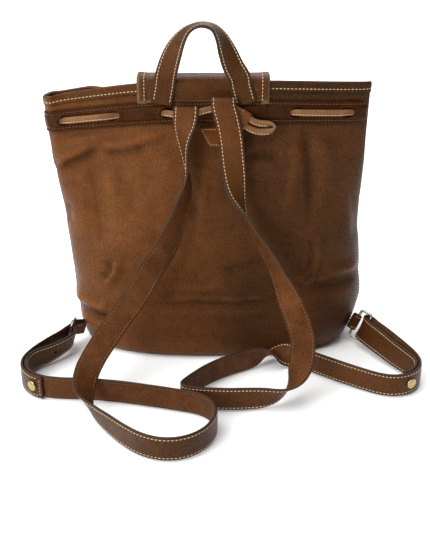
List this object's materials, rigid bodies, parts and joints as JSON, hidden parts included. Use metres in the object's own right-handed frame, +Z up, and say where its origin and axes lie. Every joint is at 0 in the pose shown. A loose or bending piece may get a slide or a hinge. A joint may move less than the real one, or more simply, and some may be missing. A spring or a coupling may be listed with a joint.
{
  "type": "leather backpack",
  "caption": "Soft leather drawstring backpack with a fold-over flap, top handle, twisted shoulder straps on rings, and an oval base.",
  "frame": {"origin": "centre of the oval base's underside, on the surface that the bag stands on", "axes": "+Z up, -Y out of the back panel towards the wearer, +Y towards the front, +X to the right in the view of the back panel"},
  "size_m": [0.3956, 0.3001, 0.334],
  "materials": {
    "bag_leather": "pebbled, satin",
    "band_leather": "pebbled, satin",
    "strap_leather": "grained, satin, dark painted edges",
    "cord_leather": "smooth, satin",
    "patch_leather": "smooth, polished",
    "nickel": "plated, lightly worn",
    "brass": "polished, lightly worn"
  },
  "bodies": {
    "bag": {"back_panel": "bag_leather", "front_panel": "bag_leather", "base_panel": "bag_leather", "casing_back": "band_leather", "casing_front": "band_leather", "drawstring": "cord_leather", "back_patch": "patch_leather", "flap_root": "bag_leather", "snap_socket": "brass", "handle_foot_left": "strap_leather", "handle_foot_right": "strap_leather", "shoulder_strap_left": "strap_leather", "shoulder_strap_right": "strap_leather", "stud_left": "brass", "stud_right": "brass", "stud_screw_left": "brass", "stud_screw_right": "brass", "ring_tab_left": "strap_leather", "ring_tab_right": "strap_leather"},
    "flap": {"flap_cover": "bag_leather", "flap_snap": "brass"},
    "top_handle": {"handle": "strap_leather"},
    "slider": {"drawstring_slider": "cord_leather"},
    "left_ring": {"ring_left": "nickel"},
    "right_ring": {"ring_right": "nickel"}
  },
  "joints": [
    {"name": "flap_hinge", "type": "hinge", "parent": "bag", "child": "flap", "pos_m": [-0.011, -0.008, 0.2795], "axis": [1, 0, 0], "range_deg": [0, 90]},
    {"name": "handle_hinge", "type": "hinge", "parent": "bag", "child": "top_handle", "pos_m": [-0.012, -0.0151, 0.2775], "axis": [1, 0, 0], "range_deg": [0, 100]},
    {"name": "slider_slide", "type": "slide", "parent": "bag", "child": "slider", "axis": [0.8325, -0.1135, -0.5422], "range_m": [0, 0.003]},
    {"name": "ring_left_swing", "type": "hinge", "parent": "bag", "child": "left_ring", "pos_m": [-0.1506, -0.0318, 0.0195], "axis": [0.27, -0.25, 0.9299], "range_deg": [-4, 3]},
    {"name": "ring_right_swing", "type": "hinge", "parent": "bag", "child": "right_ring", "pos_m": [0.151, -0.0213, 0.02], "axis": [0.4501, 0.2001, 0.8703], "range_deg": [-4, 4]}
  ]
}
